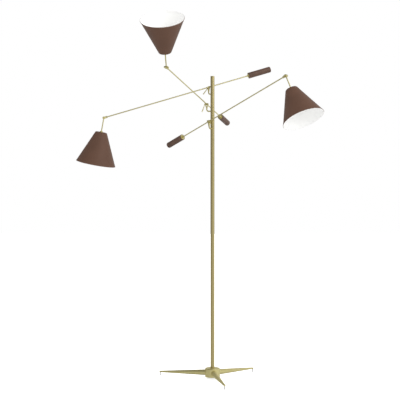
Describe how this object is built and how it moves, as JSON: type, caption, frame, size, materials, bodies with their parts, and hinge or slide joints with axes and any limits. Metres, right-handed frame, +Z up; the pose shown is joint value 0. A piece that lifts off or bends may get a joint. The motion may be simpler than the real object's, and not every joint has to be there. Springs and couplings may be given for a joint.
{
  "type": "tripod floor lamp",
  "caption": "Brass floor lamp: a pole on three tapered legs holds pivoting arms, each with a leather-covered counterweight at one end and a brown cone shade at the other.",
  "frame": {"origin": "on the floor, under the pole's axis, at the middle of the three feet", "axes": "+Z up along the pole, +X to the right and +Y away from someone who stands in front of the lamp"},
  "size_m": [1.1662, 1.0272, 1.7325],
  "materials": {
    "brass": "satin, slightly aged",
    "shade_paint": "brown paint outside, white paint inside",
    "leather": "dark brown, stitched",
    "opal_glass": "opal",
    "holder_plastic": "matte",
    "rubber": "matte",
    "steel": "satin"
  },
  "bodies": {
    "root": {"hub": "brass", "hub_plate": "steel", "plate_screws": "steel", "leg_screws": "steel", "leg_left": "brass", "leg_right": "brass", "leg_front": "brass", "foot_pins": "steel", "pole_set_screw": "steel", "cord_bush": "rubber", "pole": "brass", "pole_cap": "brass", "post_upper": "brass", "post_middle": "brass", "post_lower": "brass"},
    "swivel_upper": {"yoke_upper": "brass", "tilt_screw_upper": "brass"},
    "arm_upper": {"tilt_hub_upper": "brass", "arm_tube_upper": "brass", "tail_rod_upper": "brass", "counterweight_upper": "brass", "weight_sleeve_upper": "leather"},
    "lever_upper": {"clamp_lever_upper": "brass"},
    "fork_upper": {"arm_fork_upper": "brass", "knuckle_screw_upper": "brass"},
    "head_upper": {"shade_neck_upper": "brass", "shade_ring_upper": "brass", "shade_upper": "shade_paint", "lamp_holder_upper": "holder_plastic", "bulb_upper": "opal_glass"},
    "swivel_middle": {"yoke_middle": "brass", "tilt_screw_middle": "brass"},
    "arm_middle": {"tilt_hub_middle": "brass", "arm_tube_middle": "brass", "tail_rod_middle": "brass", "counterweight_middle": "brass", "weight_sleeve_middle": "leather"},
    "lever_middle": {"clamp_lever_middle": "brass"},
    "fork_middle": {"arm_fork_middle": "brass", "knuckle_screw_middle": "brass"},
    "head_middle": {"shade_neck_middle": "brass", "shade_ring_middle": "brass", "shade_middle": "shade_paint", "lamp_holder_middle": "holder_plastic", "bulb_middle": "opal_glass"},
    "swivel_lower": {"yoke_lower": "brass", "tilt_screw_lower": "brass"},
    "arm_lower": {"tilt_hub_lower": "brass", "arm_tube_lower": "brass", "tail_rod_lower": "brass", "counterweight_lower": "brass", "weight_sleeve_lower": "leather"},
    "lever_lower": {"clamp_lever_lower": "brass"},
    "fork_lower": {"arm_fork_lower": "brass", "knuckle_screw_lower": "brass"},
    "head_lower": {"shade_neck_lower": "brass", "shade_ring_lower": "brass", "shade_lower": "shade_paint", "lamp_holder_lower": "holder_plastic", "bulb_lower": "opal_glass"}
  },
  "joints": [
    {"name": "swivel_upper", "type": "hinge", "parent": "root", "child": "swivel_upper", "pos_m": [-0.01887, 0.02459, 1.4595], "axis": [0, 0, 1], "range_deg": [-34, 45]},
    {"name": "tilt_upper", "type": "hinge", "parent": "swivel_upper", "child": "arm_upper", "pos_m": [-0.01887, 0.02459, 1.4595], "axis": [-0.2096, 0.9778, 0], "range_deg": [-27.8, 62.2]},
    {"name": "lever_upper", "type": "hinge", "parent": "swivel_upper", "child": "lever_upper", "pos_m": [-0.01887, 0.02459, 1.4595], "axis": [-0.2096, 0.9778, 0], "range_deg": [-40, 40]},
    {"name": "fork_turn_upper", "type": "hinge", "parent": "arm_upper", "child": "fork_upper", "pos_m": [-0.53447, -0.08594, 1.29627], "axis": [-0.9341, -0.2002, -0.2957], "range_deg": [-90, 90]},
    {"name": "shade_tilt_upper", "type": "hinge", "parent": "fork_upper", "child": "head_upper", "pos_m": [-0.53447, -0.08594, 1.29627], "axis": [0.2549, -0.9538, -0.1593], "range_deg": [-158.9, 31.1]},
    {"name": "swivel_middle", "type": "hinge", "parent": "root", "child": "swivel_middle", "pos_m": [-0.02832, 0.01261, 1.373], "axis": [0, 0, 1], "range_deg": [-45, 50]},
    {"name": "tilt_middle", "type": "hinge", "parent": "swivel_middle", "child": "arm_middle", "pos_m": [-0.02832, 0.01261, 1.373], "axis": [-0.9397, 0.342, 0], "range_deg": [-56.9, 33.1]},
    {"name": "lever_middle", "type": "hinge", "parent": "swivel_middle", "child": "lever_middle", "pos_m": [-0.02832, 0.01261, 1.373], "axis": [-0.9397, 0.342, 0], "range_deg": [-40, 40]},
    {"name": "fork_turn_middle", "type": "hinge", "parent": "arm_middle", "child": "fork_middle", "pos_m": [-0.21306, -0.49495, 1.48682], "axis": [-0.3347, -0.9195, 0.2062], "range_deg": [-90, 90]},
    {"name": "shade_tilt_middle", "type": "hinge", "parent": "fork_middle", "child": "head_middle", "pos_m": [-0.21306, -0.49495, 1.48682], "axis": [0.9115, -0.3714, -0.1766], "range_deg": [-48.5, 141.5]},
    {"name": "swivel_lower", "type": "hinge", "parent": "root", "child": "swivel_lower", "pos_m": [-0.01675, -0.02609, 1.2845], "axis": [0, 0, 1], "range_deg": [-40, 60]},
    {"name": "tilt_lower", "type": "hinge", "parent": "swivel_lower", "child": "arm_lower", "pos_m": [-0.01675, -0.02609, 1.2845], "axis": [-0.7524, -0.6587, 0], "range_deg": [-63.4, 26.6]},
    {"name": "lever_lower", "type": "hinge", "parent": "swivel_lower", "child": "lever_lower", "pos_m": [-0.01675, -0.02609, 1.2845], "axis": [-0.7524, -0.6587, 0], "range_deg": [-40, 40]},
    {"name": "fork_turn_lower", "type": "hinge", "parent": "arm_lower", "child": "fork_lower", "pos_m": [0.32826, -0.42019, 1.45874], "axis": [0.625, -0.7139, 0.3156], "range_deg": [-90, 90]},
    {"name": "shade_tilt_lower", "type": "hinge", "parent": "fork_lower", "child": "head_lower", "pos_m": [0.32826, -0.42019, 1.45874], "axis": [0.7475, 0.6639, 0.0215], "range_deg": [-176.4, 13.6]}
  ]
}
